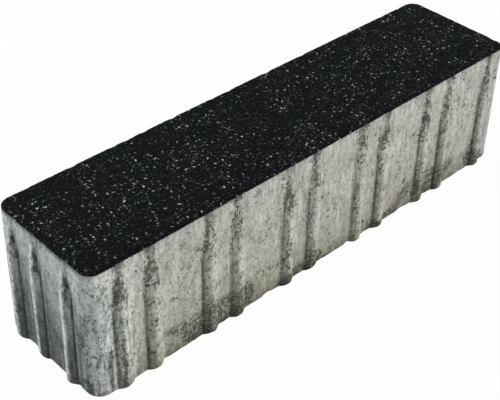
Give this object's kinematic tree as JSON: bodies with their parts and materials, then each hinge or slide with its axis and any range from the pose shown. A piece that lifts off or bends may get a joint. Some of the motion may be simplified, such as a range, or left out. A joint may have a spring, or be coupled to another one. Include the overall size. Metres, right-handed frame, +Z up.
{
  "type": "concrete paver",
  "caption": "Long narrow concrete paving stone with a flat dark speckled wearing face, rounded upright corners and tapered half-round spacer ribs down its grey sides.",
  "frame": {"origin": "middle of the bed face, on which the stone lies", "axes": "+X along the stone's length, +Y across its width, +Z up out of the wearing face"},
  "size_m": [0.2416, 0.0616, 0.06],
  "materials": {
    "concrete": "matte"
  },
  "bodies": {
    "root": {"paver": "concrete"}
  },
  "joints": []
}
